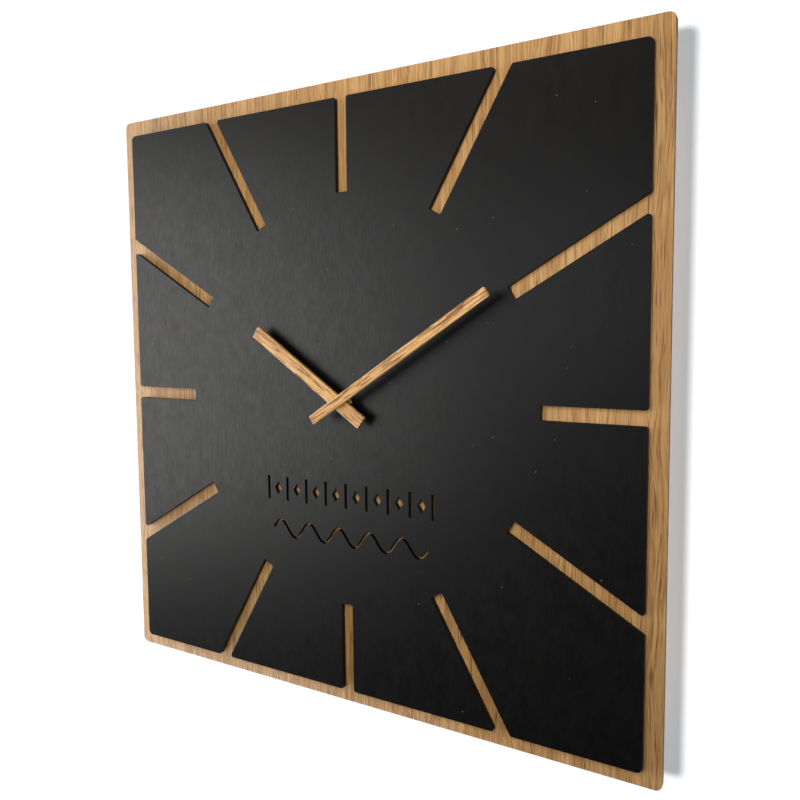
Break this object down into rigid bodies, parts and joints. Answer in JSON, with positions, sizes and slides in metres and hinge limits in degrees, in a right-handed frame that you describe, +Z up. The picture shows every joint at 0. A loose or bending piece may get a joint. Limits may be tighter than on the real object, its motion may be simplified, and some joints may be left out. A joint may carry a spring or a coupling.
{
  "type": "square wall clock",
  "caption": "Square analogue wall clock: veneered oak board, pierced black panel with radial hour slots, two oak hands, and a quartz movement behind.",
  "frame": {"origin": "centre of the nail hole, in the plane of the wall", "axes": "+X to the right as seen from the front, +Y into the wall, +Z up, the dial faces -Y"},
  "size_m": [0.5, 0.043, 0.5],
  "materials": {
    "board_core": "raw veneered board edge",
    "oak": "oiled oak veneer, satin",
    "hand_oak": "oiled solid oak strip",
    "panel_black": "charcoal black, fine matt texture",
    "black_plastic": "moulded black plastic",
    "white_plastic": "moulded natural acetal",
    "brass": "turned brass",
    "steel": "zinc plated sheet and turned steel",
    "electrical_steel": "rolled sheet",
    "felt": "grey felt",
    "magnet": "sintered magnet",
    "bobbin_green": "moulded green plastic",
    "copper_wire": "enamelled fine wire",
    "circuit_green": "solder mask",
    "epoxy": "poured black resin",
    "can_metal": "drawn bright can",
    "cell_wrap": "shrunk plastic sleeve, plain"
  },
  "bodies": {
    "clock": {"board_core": "board_core", "oak_face_veneer": "oak", "oak_back_veneer": "oak", "dial_panel": "panel_black", "bush_nut": "brass", "bush_washer": "brass", "threaded_bush": "brass", "hanger_bracket": "steel", "wall_spacer_1": "black_plastic", "wall_spacer_2": "black_plastic", "wall_spacer_3": "black_plastic", "wall_spacer_4": "black_plastic", "felt_pad_1": "felt", "felt_pad_2": "felt", "felt_pad_3": "felt", "felt_pad_4": "felt", "case_front": "black_plastic", "case_back": "black_plastic", "stator": "electrical_steel", "coil_core": "electrical_steel", "coil_bobbin": "bobbin_green", "coil_winding": "copper_wire", "motor_screws": "steel", "circuit_board": "circuit_green", "chip_cover": "epoxy", "crystal": "can_metal", "contact_plus": "brass", "contact_minus": "brass"},
    "minute_work": {"minute_arbor": "steel", "clutch_spring": "brass", "minute_hand_bush": "brass", "minute_hand": "hand_oak"},
    "hour_work": {"hour_wheel": "white_plastic", "hour_hand_bush": "brass", "hour_hand": "hand_oak"},
    "motion_work": {"motion_wheel": "white_plastic"},
    "set_work": {"set_arbor": "white_plastic", "set_knob": "white_plastic"},
    "centre_work": {"centre_wheel": "white_plastic"},
    "third_work": {"third_wheel": "white_plastic"},
    "seconds_work": {"seconds_wheel": "white_plastic", "seconds_arbor": "steel"},
    "intermediate_work": {"intermediate_wheel": "white_plastic"},
    "rotor": {"rotor_pinion": "white_plastic", "rotor_magnet": "magnet"},
    "battery": {"battery_can": "cell_wrap", "battery_cap": "can_metal"}
  },
  "joints": [
    {"name": "minute_spin", "type": "hinge", "parent": "clock", "child": "minute_work", "pos_m": [0, -0.03, -0.04], "axis": [0, 1, 0], "continuous": true},
    {"name": "hour_spin", "type": "hinge", "parent": "clock", "child": "hour_work", "pos_m": [0, -0.025, -0.04], "axis": [0, 1, 0], "continuous": true},
    {"name": "motion_spin", "type": "hinge", "parent": "clock", "child": "motion_work", "pos_m": [-0.00564, -0.014, -0.04205], "axis": [0, 1, 0], "continuous": true},
    {"name": "set_spin", "type": "hinge", "parent": "clock", "child": "set_work", "pos_m": [-0.01055, -0.008, -0.04549], "axis": [0, 1, 0], "continuous": true},
    {"name": "rotor_spin", "type": "hinge", "parent": "clock", "child": "rotor", "pos_m": [0.01075, -0.01, -0.02794], "axis": [0, 1, 0], "continuous": true},
    {"name": "intermediate_spin", "type": "hinge", "parent": "clock", "child": "intermediate_work", "pos_m": [0.00735, -0.008, -0.03383], "axis": [0, 1, 0], "continuous": true},
    {"name": "seconds_spin", "type": "hinge", "parent": "clock", "child": "seconds_work", "pos_m": [0, -0.008, -0.04], "axis": [0, 1, 0], "continuous": true},
    {"name": "third_spin", "type": "hinge", "parent": "clock", "child": "third_work", "pos_m": [-0.00795, -0.01, -0.03541], "axis": [0, 1, 0], "continuous": true},
    {"name": "centre_spin", "type": "hinge", "parent": "clock", "child": "centre_work", "pos_m": [0, -0.0115, -0.04], "axis": [0, 1, 0], "continuous": true},
    {"name": "battery_slide", "type": "slide", "parent": "clock", "child": "battery", "axis": [0, 1, 0], "range_m": [0, 0.02]}
  ],
  "couplings": [
    {"joint": "hour_spin", "follows": "minute_spin", "ratio": 0.083333},
    {"joint": "motion_spin", "follows": "minute_spin", "ratio": -0.33333},
    {"joint": "set_spin", "follows": "minute_spin", "ratio": 1},
    {"joint": "intermediate_spin", "follows": "rotor_spin", "ratio": -0.13333},
    {"joint": "seconds_spin", "follows": "rotor_spin", "ratio": 0.033333},
    {"joint": "third_spin", "follows": "rotor_spin", "ratio": -0.0044444},
    {"joint": "centre_spin", "follows": "rotor_spin", "ratio": 0.00055556}
  ]
}
